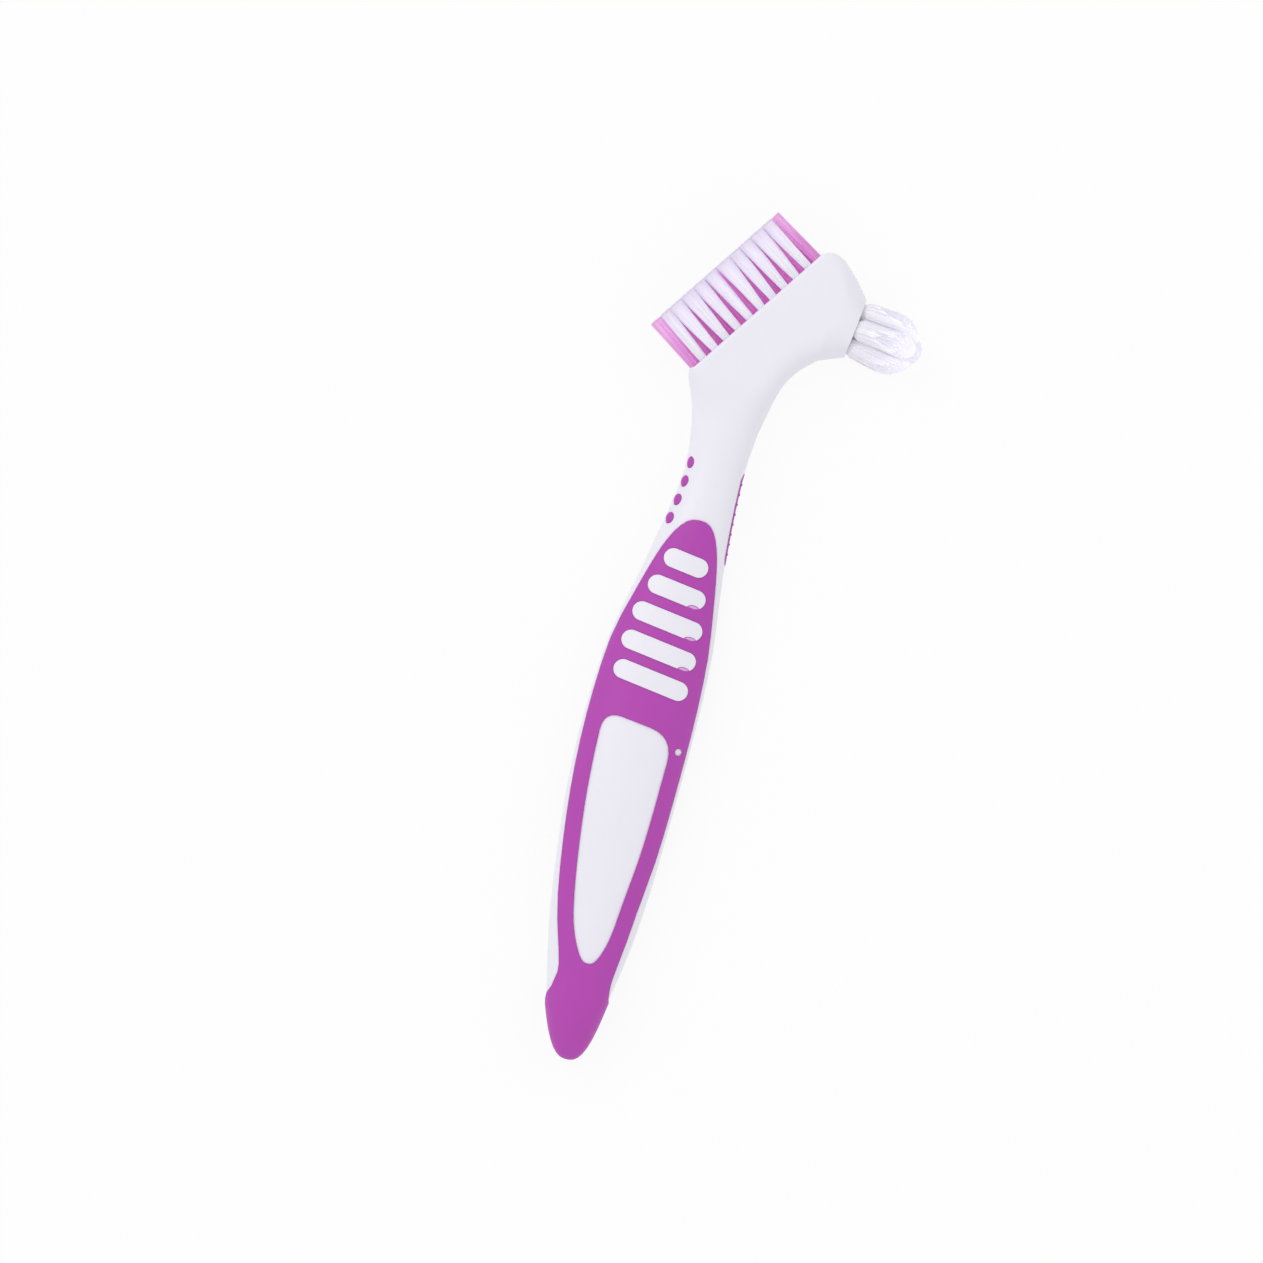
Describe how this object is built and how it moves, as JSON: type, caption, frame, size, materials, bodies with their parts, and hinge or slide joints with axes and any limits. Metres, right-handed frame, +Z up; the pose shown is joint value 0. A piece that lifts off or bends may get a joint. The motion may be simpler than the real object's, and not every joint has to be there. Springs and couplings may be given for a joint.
{
  "type": "denture brush",
  "caption": "Denture brush with a long angled bristle block, a small domed tuft cluster opposite it, and a curved handle with a soft rubber grip.",
  "frame": {"origin": "middle of the brush's bounding box, on the surface that the brush lies on", "axes": "+Y from the tail of the handle to the head, +X to the finger side, where the small head points, +Z up from the surface that the brush lies on"},
  "size_m": [0.0557, 0.1805, 0.014],
  "materials": {
    "white_polypropylene": "satin",
    "purple_rubber": "matte",
    "white_nylon": "satin",
    "purple_nylon": "satin",
    "anchor_brass": "drawn"
  },
  "bodies": {
    "root": {"handle_body": "white_polypropylene", "grip": "purple_rubber", "thumb_dots": "purple_rubber", "finger_strip": "purple_rubber", "white_tuft_back_1": "white_nylon", "white_tuft_back_2": "white_nylon", "white_tuft_back_3": "white_nylon", "white_tuft_back_4": "white_nylon", "white_tuft_back_5": "white_nylon", "white_tuft_back_6": "white_nylon", "white_tuft_back_7": "white_nylon", "white_tuft_back_8": "white_nylon", "white_tuft_back_9": "white_nylon", "white_tuft_back_10": "white_nylon", "purple_tuft_back_1": "purple_nylon", "purple_tuft_back_2": "purple_nylon", "purple_tuft_back_3": "purple_nylon", "purple_tuft_back_4": "purple_nylon", "purple_tuft_back_5": "purple_nylon", "purple_tuft_back_6": "purple_nylon", "purple_tuft_back_7": "purple_nylon", "purple_tuft_back_8": "purple_nylon", "purple_tuft_back_9": "purple_nylon", "purple_tuft_back_10": "purple_nylon", "purple_tuft_back_11": "purple_nylon", "white_tuft_front_1": "white_nylon", "white_tuft_front_2": "white_nylon", "white_tuft_front_3": "white_nylon", "white_tuft_front_4": "white_nylon", "white_tuft_front_5": "white_nylon", "white_tuft_front_6": "white_nylon", "white_tuft_front_7": "white_nylon", "white_tuft_front_8": "white_nylon", "white_tuft_front_9": "white_nylon", "white_tuft_front_10": "white_nylon", "purple_tuft_front_1": "purple_nylon", "purple_tuft_front_2": "purple_nylon", "purple_tuft_front_3": "purple_nylon", "purple_tuft_front_4": "purple_nylon", "purple_tuft_front_5": "purple_nylon", "purple_tuft_front_6": "purple_nylon", "purple_tuft_front_7": "purple_nylon", "purple_tuft_front_8": "purple_nylon", "purple_tuft_front_9": "purple_nylon", "purple_tuft_front_10": "purple_nylon", "purple_tuft_front_11": "purple_nylon", "small_tuft_1": "white_nylon", "small_tuft_2": "white_nylon", "small_tuft_3": "white_nylon", "small_tuft_4": "white_nylon", "small_tuft_5": "white_nylon", "small_tuft_6": "white_nylon", "small_tuft_7": "white_nylon", "main_anchor_wires": "anchor_brass", "small_anchor_wires": "anchor_brass"}
  },
  "joints": []
}
